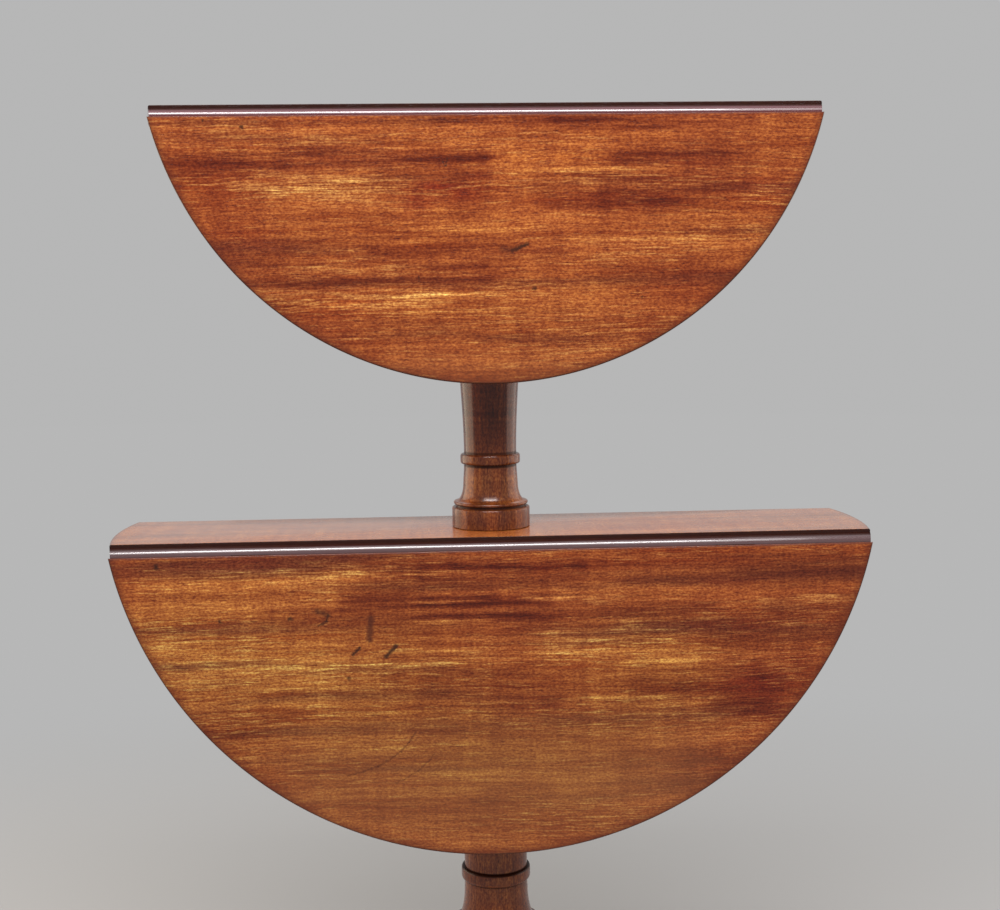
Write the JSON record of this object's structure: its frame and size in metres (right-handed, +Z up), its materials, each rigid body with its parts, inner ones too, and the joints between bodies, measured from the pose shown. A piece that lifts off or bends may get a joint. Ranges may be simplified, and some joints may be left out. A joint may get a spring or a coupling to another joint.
{
  "type": "dumbwaiter table",
  "caption": "Two-tier round drop-leaf dumbwaiter table on a turned column with a tripod base and cap castors.",
  "frame": {"origin": "on the floor, under the axis of the column", "axes": "+Z up along the column, +X along the hinge lines of the leaves, +Y towards the back leaf"},
  "size_m": [0.66, 0.5266, 0.982],
  "materials": {
    "mahogany": "figured mahogany boards, french polished",
    "column_wood": "turned mahogany, darker, french polished",
    "bearer_wood": "unpolished secondary wood",
    "brass": "aged brass",
    "iron": "dark iron"
  },
  "bodies": {
    "stand": {"lower_column": "column_wood", "upper_column": "column_wood", "leg_1": "column_wood", "leg_2": "column_wood", "leg_3": "column_wood", "hub_plate": "iron", "hub_plate_screw_1": "iron", "hub_plate_screw_2": "iron", "hub_plate_screw_3": "iron", "toe_cap_1": "brass", "toe_cap_2": "brass", "toe_cap_3": "brass", "lower_centre_board": "mahogany", "lower_block": "bearer_wood", "lower_block_left_screw": "iron", "lower_block_right_screw": "iron", "lower_left_pivot_screw": "iron", "lower_right_pivot_screw": "iron", "lower_front_left_board_flap": "brass", "lower_front_right_board_flap": "brass", "lower_back_left_board_flap": "brass", "lower_back_right_board_flap": "brass"},
    "upper_tier": {"upper_centre_board": "mahogany", "upper_block": "bearer_wood", "upper_block_left_screw": "iron", "upper_block_right_screw": "iron", "upper_left_pivot_screw": "iron", "upper_right_pivot_screw": "iron", "upper_front_left_board_flap": "brass", "upper_front_right_board_flap": "brass", "upper_back_left_board_flap": "brass", "upper_back_right_board_flap": "brass"},
    "lower_front_flap": {"lower_front_leaf": "mahogany", "lower_front_left_leaf_flap": "brass", "lower_front_right_leaf_flap": "brass"},
    "lower_back_flap": {"lower_back_leaf": "mahogany", "lower_back_left_leaf_flap": "brass", "lower_back_right_leaf_flap": "brass"},
    "upper_front_flap": {"upper_front_leaf": "mahogany", "upper_front_left_leaf_flap": "brass", "upper_front_right_leaf_flap": "brass"},
    "upper_back_flap": {"upper_back_leaf": "mahogany", "upper_back_left_leaf_flap": "brass", "upper_back_right_leaf_flap": "brass"},
    "lower_left_support": {"lower_left_bearer": "bearer_wood"},
    "lower_right_support": {"lower_right_bearer": "bearer_wood"},
    "upper_left_support": {"upper_left_bearer": "bearer_wood"},
    "upper_right_support": {"upper_right_bearer": "bearer_wood"},
    "castor_1": {"castor_fork_1": "brass", "castor_axle_1": "iron"},
    "castor_2": {"castor_fork_2": "brass", "castor_axle_2": "iron"},
    "castor_3": {"castor_fork_3": "brass", "castor_axle_3": "iron"},
    "wheel_1": {"castor_wheel_1": "brass"},
    "wheel_2": {"castor_wheel_2": "brass"},
    "wheel_3": {"castor_wheel_3": "brass"}
  },
  "joints": [
    {"name": "upper_tier_turn", "type": "hinge", "parent": "stand", "child": "upper_tier", "pos_m": [0, 0, 0.95], "axis": [0, 0, 1], "continuous": true},
    {"name": "lower_front_leaf_lift", "type": "hinge", "parent": "stand", "child": "lower_front_flap", "pos_m": [0, -0.064, 0.61], "axis": [-1, 0, 0], "range_deg": [0, 90]},
    {"name": "lower_back_leaf_lift", "type": "hinge", "parent": "stand", "child": "lower_back_flap", "pos_m": [0, 0.064, 0.61], "axis": [1, 0, 0], "range_deg": [0, 90]},
    {"name": "upper_front_leaf_lift", "type": "hinge", "parent": "upper_tier", "child": "upper_front_flap", "pos_m": [0, -0.064, 0.972], "axis": [-1, 0, 0], "range_deg": [0, 90]},
    {"name": "upper_back_leaf_lift", "type": "hinge", "parent": "upper_tier", "child": "upper_back_flap", "pos_m": [0, 0.064, 0.972], "axis": [1, 0, 0], "range_deg": [0, 90]},
    {"name": "lower_left_bearer_swing", "type": "hinge", "parent": "stand", "child": "lower_left_support", "pos_m": [-0.185, 0, 0.6], "axis": [0, 0, 1], "range_deg": [-28, 28]},
    {"name": "lower_right_bearer_swing", "type": "hinge", "parent": "stand", "child": "lower_right_support", "pos_m": [0.185, 0, 0.6], "axis": [0, 0, 1], "range_deg": [-28, 28]},
    {"name": "upper_left_bearer_swing", "type": "hinge", "parent": "upper_tier", "child": "upper_left_support", "pos_m": [-0.16, 0, 0.96], "axis": [0, 0, 1], "range_deg": [-34, 34]},
    {"name": "upper_right_bearer_swing", "type": "hinge", "parent": "upper_tier", "child": "upper_right_support", "pos_m": [0.16, 0, 0.96], "axis": [0, 0, 1], "range_deg": [-34, 34]},
    {"name": "castor_1_swivel", "type": "hinge", "parent": "stand", "child": "castor_1", "pos_m": [0.283, 0, 0.04], "axis": [0, 0, 1], "continuous": true},
    {"name": "castor_2_swivel", "type": "hinge", "parent": "stand", "child": "castor_2", "pos_m": [-0.1415, 0.24509, 0.04], "axis": [0, 0, 1], "continuous": true},
    {"name": "castor_3_swivel", "type": "hinge", "parent": "stand", "child": "castor_3", "pos_m": [-0.1415, -0.24509, 0.04], "axis": [0, 0, 1], "continuous": true},
    {"name": "wheel_1_spin", "type": "hinge", "parent": "castor_1", "child": "wheel_1", "pos_m": [0.271, 0, 0.0165], "axis": [0, 1, 0], "continuous": true},
    {"name": "wheel_2_spin", "type": "hinge", "parent": "castor_2", "child": "wheel_2", "pos_m": [-0.1355, 0.23469, 0.0165], "axis": [-0.866, -0.5, 0], "continuous": true},
    {"name": "wheel_3_spin", "type": "hinge", "parent": "castor_3", "child": "wheel_3", "pos_m": [-0.1355, -0.23469, 0.0165], "axis": [0.866, -0.5, 0], "continuous": true}
  ]
}
